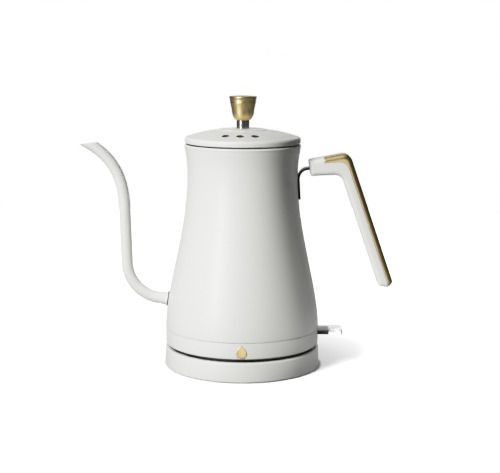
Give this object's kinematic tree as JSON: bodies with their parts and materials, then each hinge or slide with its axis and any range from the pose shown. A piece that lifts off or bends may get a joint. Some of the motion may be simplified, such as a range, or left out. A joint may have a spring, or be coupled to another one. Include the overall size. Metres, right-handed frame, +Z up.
{
  "type": "gooseneck kettle",
  "caption": "White electric pour-over kettle with a waisted body, thin curved spout, brass-trimmed angular handle and brass knob, on a round cordless power base.",
  "frame": {"origin": "on the vessel's axis, on the surface that the base's foot ring stands on", "axes": "+Z up, +X towards the handle and switch lever, -X towards the spout, -Y towards the badge side"},
  "size_m": [0.2756, 0.1396, 0.2394],
  "materials": {
    "white_enamel": "gloss white",
    "white_plastic": "gloss white",
    "brass": "brushed, lacquered",
    "chrome": "polished",
    "steel": "brushed",
    "dark_steel": "black nickel, satin",
    "black_plastic": "matt black",
    "grey_plastic": "matt",
    "clear_plastic": "clear",
    "contact_brass": "plain",
    "aluminium": "as cast",
    "rubber": "matt black",
    "silicone": "satin"
  },
  "bodies": {
    "power_base": {"base_cover": "white_plastic", "base_deck": "black_plastic", "base_plate": "grey_plastic", "foot_ring": "rubber", "base_screws": "steel", "base_socket": "black_plastic", "socket_contacts": "contact_brass", "plunger_spring": "steel", "cord_bush": "black_plastic", "cord_clamp": "grey_plastic", "clamp_screws": "steel"},
    "swivel": {"earth_plunger": "contact_brass"},
    "kettle": {"kettle_shell": "white_enamel", "vessel_floor": "steel", "heat_plate": "aluminium", "heating_element": "aluminium", "element_terminals": "steel", "skirt_ring": "white_plastic", "bottom_cover": "black_plastic", "bottom_screws": "steel", "control_body": "grey_plastic", "bimetal_discs": "contact_brass", "connector_pin": "contact_brass", "connector_ring": "contact_brass", "steam_tube": "steel", "steam_seal": "silicone", "steam_switch": "grey_plastic", "switch_bracket": "black_plastic", "lever_pin": "steel", "badge": "brass", "spout_tube": "white_enamel", "spout_collar": "white_enamel", "spout_gasket": "silicone", "handle_bracket": "dark_steel", "handle_body": "white_plastic", "handle_trim": "brass", "handle_screws": "steel"},
    "lid": {"lid_shell": "white_enamel", "lid_pan": "steel", "lid_seal": "silicone", "knob": "brass", "knob_stem": "chrome", "knob_screw": "steel", "knob_washer": "steel"},
    "lever": {"switch_lever": "black_plastic", "lever_paddle": "clear_plastic"}
  },
  "joints": [
    {"name": "base_swivel", "type": "hinge", "parent": "power_base", "child": "swivel", "pos_m": [0, 0, 0.0138], "axis": [0, 0, 1], "continuous": true},
    {"name": "kettle_lift", "type": "slide", "parent": "swivel", "child": "kettle", "axis": [0, 0, 1], "range_m": [0, 0.08]},
    {"name": "lid_lift", "type": "slide", "parent": "kettle", "child": "lid", "axis": [0, 0, 1], "range_m": [0, 0.07]},
    {"name": "switch_rocker", "type": "hinge", "parent": "kettle", "child": "lever", "pos_m": [0.06, 0, 0.0307], "axis": [0, 1, 0], "range_deg": [0, 12]}
  ]
}
